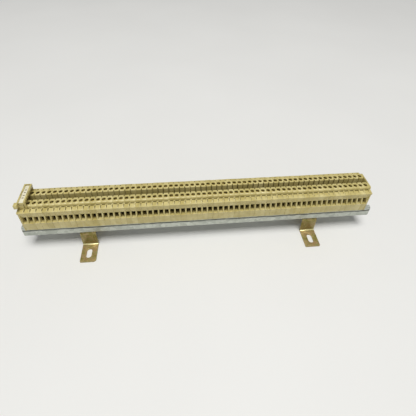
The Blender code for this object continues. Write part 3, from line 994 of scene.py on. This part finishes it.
    def cage(self) -> bpy.types.Mesh:
        """A clamping cage stamped and folded from strip, with a tapped top and grooves across its floor."""
        half_x, half_y = 2.2 * MM, 3.2 * MM
        top, window_top = self.bar_top + 2.9 * MM, self.bar_top + GAP
        floor_top = -20.8 * MM
        outer = soften(rectangle(-half_x, half_x, floor_top - 1.4 * MM, top), 0.6 * MM, 4)
        inner = soften(rectangle(-half_x + 0.45 * MM, half_x - 0.45 * MM, floor_top, window_top), 0.3 * MM, 3)
        blank = Blank(prism(outer, -half_y, half_y, axis="Y"))
        bore = prism(ellipse((0.0, 0.0), 1.8 * MM, 1.8 * MM, 20), window_top - MM, top + MM, axis="Z")
        grooves = [
            prism(
                rectangle(y - 0.25 * MM, y + 0.25 * MM, floor_top - 0.25 * MM, floor_top + 0.4 * MM),
                -half_x + 0.75 * MM,
                half_x - 0.75 * MM,
            )
            for y in (-1.8 * MM, -0.6 * MM, 0.6 * MM, 1.8 * MM)
        ]
        blank.work(Cut.REMOVE, prism(inner, -2 * half_y, 2 * half_y, axis="Y"), bore, joined(grooves))
        return blank.broken_edges(0.1 * MM, 1).mesh()


@dataclass
class TerminalRow:
    """All the terminals: the banks, and the last few piece by piece."""

    form: TerminalForm
    melamine: FinishBase
    tinned: FinishBase
    zinc: FinishBase
    passivated: FinishBase
    pitch: float
    first_x: float
    top: float
    bank_size: int = 10
    banks: int = 6
    operable: Sequence[int] = (61, 62, 63, 64)

    def middle(self, number: int) -> Vector:
        """The origin of a terminal's frame, counted from 1 at the left."""
        return Vector((self.first_x + (number - 1) * self.pitch, 0.0, self.top))

    def seats(self, bank: int, chance: random.Random) -> list[Matrix]:
        """Where a bank's housings sit: each a hair out of line, as clipped-on housings are."""
        seats = []
        for n in range(self.bank_size):
            spot = self.middle(bank * self.bank_size + n + 1)
            loose = Vector((0.0, chance.uniform(-0.12, 0.12), chance.uniform(-0.08, 0.02))) * MM
            tilt = Matrix.Rotation(math.radians(chance.uniform(-0.25, 0.25)), 4, "X")
            seats.append(Matrix.Translation(spot + loose) @ tilt)
        return seats

    def build(self) -> None:
        """Builds every terminal."""
        chance = random.Random(SEED)
        form = self.form
        housing, bar, cage = form.housing(), form.current_bar(), form.cage()
        plain_screw = form.clamp_screw(threaded=False)
        for bank in range(self.banks):
            seats = self.seats(bank, chance)
            clamps, screws = [], []
            for seat in seats:
                for side in Side:
                    spot = Vector((form.clamp_x, side.value * form.clamp_y, 0.0))
                    clamps.append(seat @ Matrix.Translation(spot))
                    turn = Matrix.Rotation(chance.uniform(0, math.pi), 4, "Z")
                    screws.append(seat @ Matrix.Translation(spot) @ turn)
            label = f"bank_{bank + 1}"
            install(f"{label}_housings", copies(housing, seats), self.melamine, (f"housing_{label}",))
            install(f"{label}_current_bars", copies(bar, seats), self.tinned)
            install(f"{label}_screws", copies(plain_screw, screws), self.zinc)
            install(f"{label}_cages", copies(cage, clamps), self.passivated)
        screw = form.clamp_screw(threaded=True)
        for number in self.operable:
            self.build_operable(number, housing, bar, screw, cage)

    def build_operable(
        self,
        number: int,
        housing: bpy.types.Mesh,
        bar: bpy.types.Mesh,
        screw: bpy.types.Mesh,
        cage: bpy.types.Mesh,
    ) -> None:
        """Builds one working terminal.

        Args:
            number: Its number, counted from 1 at the left.
            housing: The housing's mesh in the terminal's frame.
            bar: The current bar's mesh in the terminal's frame.
            screw: The screw's mesh about its own axis.
            cage: The cage's mesh about the screw's axis.
        """
        middle = self.middle(number)
        for kind, mesh, finish in (("housing", housing, self.melamine), ("current_bar", bar, self.tinned)):
            install(f"terminal_{number}_{kind}", mesh.copy(), finish, (f"{kind}_{number}",), middle)
        for side in Side:
            spot = middle + Vector((self.form.clamp_x, side.value * self.form.clamp_y, 0.0))
            for kind, mesh, finish in (("screw", screw, self.zinc), ("cage", cage, self.passivated)):
                node = f"{kind}_{number}_{side.word}"
                install(f"terminal_{number}_{side.word}_{kind}", mesh.copy(), finish, (node,), spot, node)


# ---------------------------------------------------------------------------------------------------------------
# The end fittings
# ---------------------------------------------------------------------------------------------------------------


@dataclass
class EndFittings:
    """The end plates, and the label carrier with its label."""

    form: TerminalForm
    melamine: FinishBase
    card: FinishBase
    ink: FinishBase
    top: float
    tray_low: float = 4.6 * MM
    tray_top: float = 7.6 * MM
    leg_thick: float = 0.9 * MM
    rim: float = 0.95 * MM

    def build(self) -> None:
        """Builds the end plates, the carrier, the label and its marks."""
        self.build_plates()
        self.build_carrier()
        self.build_label()

    def plate(self, thickness: float) -> bpy.types.Mesh:
        """An end plate with a raised border and two ejector marks on its outer face, which looks left.

        Args:
            thickness: The plate's thickness.

        Returns:
            The mesh, with its outer face at x = 0.
        """
        form = self.form
        half = [p for p in form.half_outline() if p[1] > -9 * MM and p[0] > form.channel_half + MM]
        half += [(19.0 * MM, -12.0 * MM), (19.0 * MM, form.skirt)]
        over = form.rail_top + GAP
        half += [(form.rail_half, form.skirt), (form.rail_half, over)]
        outline = [(-y, z) for y, z in reversed(half)] + half
        panel = soften(rectangle(-16.6 * MM, 16.6 * MM, -30.2 * MM, -10.6 * MM), 1.5 * MM, 6)
        spots = [ellipse((y, -20.0 * MM), 2.2 * MM, 2.2 * MM, 28) for y in (-9.0 * MM, 9.0 * MM)]
        marks = [prism(spot, 0.1 * MM, 0.6 * MM) for spot in spots]
        blank = Blank(prism(outline, 0.0, thickness)).work(Cut.REMOVE, prism(panel, -MM, 0.35 * MM))
        return blank.work(Cut.ADD, joined(marks)).broken_edges(0.15 * MM).mesh()

    def build_plates(self) -> None:
        """The end plates: the left one as moulded, and the right one its mirror image."""
        for side in ENDS:
            node = f"end_plate_{side}"
            low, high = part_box(node)
            mesh = self.plate(high.x - low.x)
            if side == "right":
                mesh.transform(Matrix.Scale(-1, 4, Vector((1, 0, 0))))
                mesh.flip_normals()
            place = Vector((low.x if side == "left" else high.x, 0.0, self.top))
            install(f"{node}_moulding", mesh, self.melamine, (node,), place)

    def build_carrier(self) -> None:
        """The label carrier: a rimmed tray on two legs, with a catch beside the front leg."""
        low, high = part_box("label_carrier")
        label_low, label_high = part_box("label")
        centre = (label_low.x + label_high.x) / 2
        half = high.x - centre
        leg = self.form.tower + GAP
        leg_foot = self.form.platform + 0.05 * MM
        front, back = -15.2 * MM, high.y
        outline = [
            (front, self.tray_top),
            (front, self.tray_low),
            (-leg - self.leg_thick, self.tray_low - 0.5 * MM),
            (-leg - self.leg_thick, leg_foot),
            (-leg, leg_foot),
            (-leg, self.tray_low - 1.2 * MM),
            (-leg + 1.2 * MM, self.tray_low),
            (leg - 1.2 * MM, self.tray_low),
            (leg, self.tray_low - 1.2 * MM),
            (leg, leg_foot),
            (leg + self.leg_thick, leg_foot),
            (leg + self.leg_thick, self.tray_low - 0.5 * MM),
            (back, self.tray_low),
            (back, self.tray_top),
        ]
        blank = Blank(prism(outline, -half, half))
        catch_low, catch_high = 1.5 * MM, 6.5 * MM
        reach = low.x - centre
        hook = [
            (low.y, catch_low),
            (low.y, catch_high),
            (-leg - 0.4 * MM, catch_high),
            (-leg, catch_low + 3.4 * MM),
            (-leg, catch_low),
        ]
        bridge = rectangle(front + 0.1 * MM, -leg, catch_low, catch_high)
        blank.work(Cut.ADD, prism(hook, reach, 0.4 * MM - half), prism(bridge, 0.2 * MM - half, 3 * MM - half))
        groove_half = (label_high.x - label_low.x) / 2 + GAP
        groove_low = label_low.z - self.top - GAP
        groove_high = label_high.z - self.top + GAP
        groove = rectangle(-groove_half, groove_half, groove_low, groove_high)
        mouth_half = groove_half - 0.6 * MM
        mouth = rectangle(-mouth_half, mouth_half, groove_high - 0.1 * MM, self.tray_top + MM)
        stop = back - self.rim
        blank.work(Cut.REMOVE, prism(groove, front - MM, stop, axis="Y"), prism(mouth, front - MM, stop, axis="Y"))
        ring_centre = (1.7 * MM - half, 4.0 * MM)
        ring = arc(ring_centre, 1.35 * MM, 60, 300, 16) + arc(ring_centre, 0.75 * MM, 300, 60, 16)
        spring_gap = rectangle(1.4 * MM, 2.1 * MM, leg_foot - MM, 3.4 * MM)
        blank.work(
            Cut.REMOVE,
            prism(ring, front - MM, front + 0.9 * MM, axis="Y"),
            prism(spring_gap, front - MM, -leg + 0.5 * MM, axis="Y"),
        )
        mesh = blank.broken_edges(0.15 * MM).mesh()
        place = Vector((centre, 0.0, self.top))
        install("label_carrier_moulding", mesh, self.melamine, ("label_carrier",), place, "label_carrier")

    def build_label(self) -> None:
        """The white label with a row of plain printed dashes."""
        low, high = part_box("label")
        half = (high.x - low.x) / 2
        centre = Vector(((low.x + high.x) / 2, (low.y + high.y) / 2, low.z))
        half_length = (high.y - low.y) / 2
        outline = soften(rectangle(-half, half, -half_length, half_length), 0.6 * MM, 4)
        mesh = Blank(prism(outline, 0.0, high.z - low.z, axis="Z")).broken_edges(0.06 * MM).mesh()
        install("label_card", mesh, self.card, ("label",), centre, "label")
        dashes = []
        for k in range(4):
            y = (k - 1.5) * 4.4 * MM
            dash = soften(rectangle(-1.1 * MM, 1.1 * MM, y - 0.55 * MM, y + 0.55 * MM), 0.3 * MM, 3)
            dashes.append(prism(dash, high.z - low.z + 0.01 * MM, high.z - low.z + 0.05 * MM, axis="Z"))
        install("label_dashes", joined(dashes), self.ink, (), centre, "label")


# ---------------------------------------------------------------------------------------------------------------
# The rail and its brackets
# ---------------------------------------------------------------------------------------------------------------


@dataclass
class Support:
    """The rail, the two brackets, and the screws and nuts between them."""

    galvanised: FinishBase
    passivated: FinishBase
    zinc: FinishBase
    sheet: float = 1.5 * MM
    front_lip: float = 5.0 * MM
    rear_lip: float = 8.0 * MM
    bend: float = 1.9 * MM
    strip: float = 2.0 * MM
    strip_bend: float = 2.7 * MM
    bolt: float = 2.5 * MM
    slot_width: float = 6.6 * MM
    slot_length: float = 14.0 * MM
    slot_y: float = 31.5 * MM

    def build(self) -> None:
        """Builds every piece under the terminals."""
        self.build_rail()
        for side in ENDS:
            self.build_bracket(side)
            self.build_fixing(side)

    def build_rail(self) -> None:
        """The G-section rail, rolled from galvanised strip."""
        low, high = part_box("mounting_rail")
        mid = self.sheet / 2
        path = [
            (low.y + self.front_lip, high.z - mid),
            (low.y + mid, high.z - mid),
            (low.y + mid, low.z + mid),
            (high.y - mid, low.z + mid),
            (high.y - mid, high.z - mid),
            (high.y - self.rear_lip, high.z - mid),
        ]
        outline = sheet_outline(soften(path, self.bend, 10, closed=False), self.sheet)
        blank = Blank(prism(outline, low.x, high.x))
        holes = []
        for side in ENDS:
            x = self.bolt_centre(side).x
            hole = ellipse((x, 0.0), self.bolt + GAP, self.bolt + GAP, 32)
            holes.append(prism(hole, low.z - MM, low.z + 3 * MM, axis="Z"))
        blank.work(Cut.REMOVE, joined(holes))
        mesh = blank.broken_edges(0.15 * MM, 2, 50).mesh()
        install("rail_section", mesh, self.galvanised, ("mounting_rail",))

    def bolt_centre(self, side: str) -> Vector:
        """The middle of a fixing screw's node."""
        low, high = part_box(f"rail_screw_{side}")
        return (low + high) / 2

    def build_bracket(self, side: str) -> None:
        """A bracket bent from strip into a hat, with a slotted foot in front and behind."""
        low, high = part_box(f"bracket_{side}")
        rail_low, rail_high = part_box("mounting_rail")
        mid = self.strip / 2
        path = [
            (low.y, low.z + mid),
            (rail_low.y + mid, low.z + mid),
            (rail_low.y + mid, high.z - mid),
            (rail_high.y - mid, high.z - mid),
            (rail_high.y - mid, low.z + mid),
            (high.y, low.z + mid),
        ]
        outline = sheet_outline(soften(path, self.strip_bend, 10, closed=False), self.strip)
        blank = Blank(prism(outline, low.x, high.x))
        centre = (low.x + high.x) / 2
        worn = 3.0 * MM if side == "left" else 1.2 * MM
        corners = [(low.x, low.y), (high.x, low.y, worn), (high.x, high.y), (low.x, high.y)]
        blank.work(Cut.KEEP, prism(soften(corners, 1.0 * MM, 8), low.z - MM, high.z + MM, axis="Z"))
        cuts = [
            prism(obround((centre, y), self.slot_width, self.slot_length), low.z - MM, low.z + 5 * MM, axis="Z")
            for y in (-self.slot_y, self.slot_y)
        ]
        hole = ellipse((centre, 0.0), self.bolt + GAP, self.bolt + GAP, 32)
        cuts.append(prism(hole, high.z - 5 * MM, high.z + MM, axis="Z"))
        blank.work(Cut.REMOVE, joined(cuts))
        mesh = blank.broken_edges(0.2 * MM, 2, 50).mesh()
        node = f"bracket_{side}"
        install(f"{node}_strip", mesh, self.passivated, (node,))

    def build_fixing(self, side: str) -> None:
        """The slotted pan-head screw and the nut that hold the rail on a bracket."""
        low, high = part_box(f"rail_screw_{side}")
        head_low = high.z - 2.8 * MM
        centre = self.bolt_centre(side)
        r, head = self.bolt, (high.x - low.x) / 2
        profile = [
            (r - 0.6 * MM, low.z),
            (r, low.z + 0.6 * MM),
            (r, head_low - 1.0 * MM),
            (r - 0.05 * MM, head_low - 0.2 * MM),
            (r, head_low),
            (head - 0.3 * MM, head_low),
            (head, head_low + 0.3 * MM),
            (head, high.z - 1.3 * MM),
            (head - 0.35 * MM, high.z - 0.6 * MM),
            (head - 1.2 * MM, high.z - 0.15 * MM),
            (head - 2.4 * MM, high.z),
        ]
        body = turned(profile, 40, 0.8 * MM, 0.42 * MM, (low.z + 0.6 * MM, head_low - 1.0 * MM))
        slot = prism(rectangle(-6 * MM, 6 * MM, -0.6 * MM, 0.6 * MM), high.z - 1.2 * MM, high.z + MM, axis="Z")
        mesh = Blank(body).work(Cut.REMOVE, slot).mesh()
        node = f"rail_screw_{side}"
        install(f"{node}_turned", mesh, self.zinc, (node,), Vector((centre.x, 0.0, 0.0)))

        node = f"rail_nut_{side}"
        low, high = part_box(node)
        across = (high.y - low.y) / 2
        thick = high.z - low.z
        blank = Blank(prism(ellipse((0.0, 0.0), across, across, 6), 0.0, thick, axis="Z"))
        cone = across * 0.95
        chamfered = [
            (cone - 0.3 * MM, -0.001 * MM),
            (cone + 0.9 * MM, 0.75 * MM),
            (cone + 0.9 * MM, thick - 0.75 * MM),
            (cone - 0.3 * MM, thick + 0.001 * MM),
        ]
        bore = ellipse((0.0, 0.0), self.bolt + 0.25 * MM, self.bolt + 0.25 * MM, 32)
        blank.work(Cut.KEEP, turned(chamfered, 48)).work(Cut.REMOVE, prism(bore, -MM, thick + MM, axis="Z"))
        mesh = blank.broken_edges(0.12 * MM).mesh()
        install(f"{node}_hexagon", mesh, self.zinc, (node,), Vector((centre.x, 0.0, low.z)))


# ---------------------------------------------------------------------------------------------------------------
# The studio
# ---------------------------------------------------------------------------------------------------------------


@dataclass
class Studio:
    """A pale table, soft lights and the camera."""

    table: FinishBase
    table_size: float = 6.0
    key_place: tuple[float, float, float] = (0.0, -0.8, 3.2)
    key_target: tuple[float, float, float] = (0.0, 1.2, 0.0)
    key_size: float = 1.6
    key_power: float = 97.0
    sky_colour: str = "#F4F6F8"
    sky_strength: float = 0.29
    eye: tuple[float, float, float] = (-0.0313, -0.3040, 0.3559)
    pitch: float = 42.26
    yaw: float = -7.01
    roll: float = 1.78
    lens: float = 29.86
    rise: float = -0.056

    def build(self) -> None:
        """Builds the table, the lights and the camera."""
        half = self.table_size / 2
        bm = bmesh.new()
        bmesh.ops.create_grid(bm, x_segments=8, y_segments=8, size=half)
        table = new_object("studio_table", finished_mesh("table", bm))
        table.data.materials.append(self.table.material())
        self.light("key_softbox", self.key_place, self.key_size, self.key_power, self.key_target)
        world = bpy.data.worlds.new("studio_sky")
        world.use_nodes = True
        sky = world.node_tree.nodes["Background"]
        sky.inputs["Color"].default_value = linear(self.sky_colour)
        sky.inputs["Strength"].default_value = self.sky_strength
        bpy.context.scene.world = world
        bpy.context.scene.view_settings.view_transform = "Standard"
        camera = bpy.data.cameras.new("product_view")
        camera.lens = self.lens
        camera.sensor_width = 36.0
        camera.clip_start = 0.01
        holder = new_object("product_view", camera)
        holder.location = self.eye
        turn = Matrix()
        for angle, axis in ((self.yaw, "Z"), (90 - self.pitch, "X"), (self.roll, "Z")):
            turn @= Matrix.Rotation(math.radians(angle), 4, axis)
        holder.rotation_euler = turn.to_euler()
        camera.shift_y = self.rise
        bpy.context.scene.camera = holder

    def light(
        self,
        name: str,
        place: tuple[float, float, float],
        size: float,
        power: float,
        target: tuple[float, float, float],
    ) -> None:
        """Adds a square soft light that faces a point.

        Args:
            name: The light's name.
            place: Where it hangs.
            size: Its side.
            power: Its power in watts.
            target: The point that it faces.
        """
        lamp = bpy.data.lights.new(name, "AREA")
        lamp.size = size
        lamp.energy = power
        holder = new_object(name, lamp)
        holder.location = place
        toward = Vector(target) - Vector(place)
        holder.rotation_euler = toward.to_track_quat("-Z", "Y").to_euler()


def main() -> None:
    """Builds the studio and every piece."""
    logging.basicConfig(level=logging.INFO, format="%(name)s %(message)s")
    form = TerminalForm()
    first_low, first_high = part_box("housing_61")
    last_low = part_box("housing_64")[0]
    pitch = (last_low.x - first_low.x) / 3
    first_x = (first_low.x + first_high.x) / 2 - 60 * pitch
    top = first_high.z
    row_start = (first_x - pitch / 2) / MM
    # The height of the rail's line of painted shade and grease.
    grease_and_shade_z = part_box("mounting_rail")[1].z - 5.4 * MM
    melamine = MouldedMelamine("compression_moulded_melamine", Slot.BEIGE, pitch / MM, row_start, top / MM)
    galvanised = GalvanisedSteel("rolled_galvanised_steel", Slot.GALVANISED, grease_and_shade_z)
    passivated = YellowPassivate("yellow_chromated_zinc_on_steel", Slot.PASSIVATED)
    zinc = PlatedMetal("turned_zinc_plated_steel", Slot.ZINC)
    yellowed = PlatedMetal("turned_steel_with_yellowed_zinc", Slot.ZINC, "#9C8440", "#BCA258", metal=0.1)
    tinned = PlatedMetal("rolled_tinned_copper", Slot.TINNED, "#7F8470", "#C2C3AE", 2.5, 0.3, 0.5)
    card = PrintedCard("coated_white_card", Slot.CARD)
    ink = PrintedCard("printed_ink", Slot.CARD, "#5B4A46", "#493A36", 0.6)

    Studio(StudioTable("painted_table_top")).build()
    Support(galvanised, passivated, zinc).build()
    TerminalRow(form, melamine, tinned, yellowed, passivated, pitch, first_x, top).build()
    EndFittings(form, melamine, card, ink, top).build()


if __name__ == "__main__":
    main()
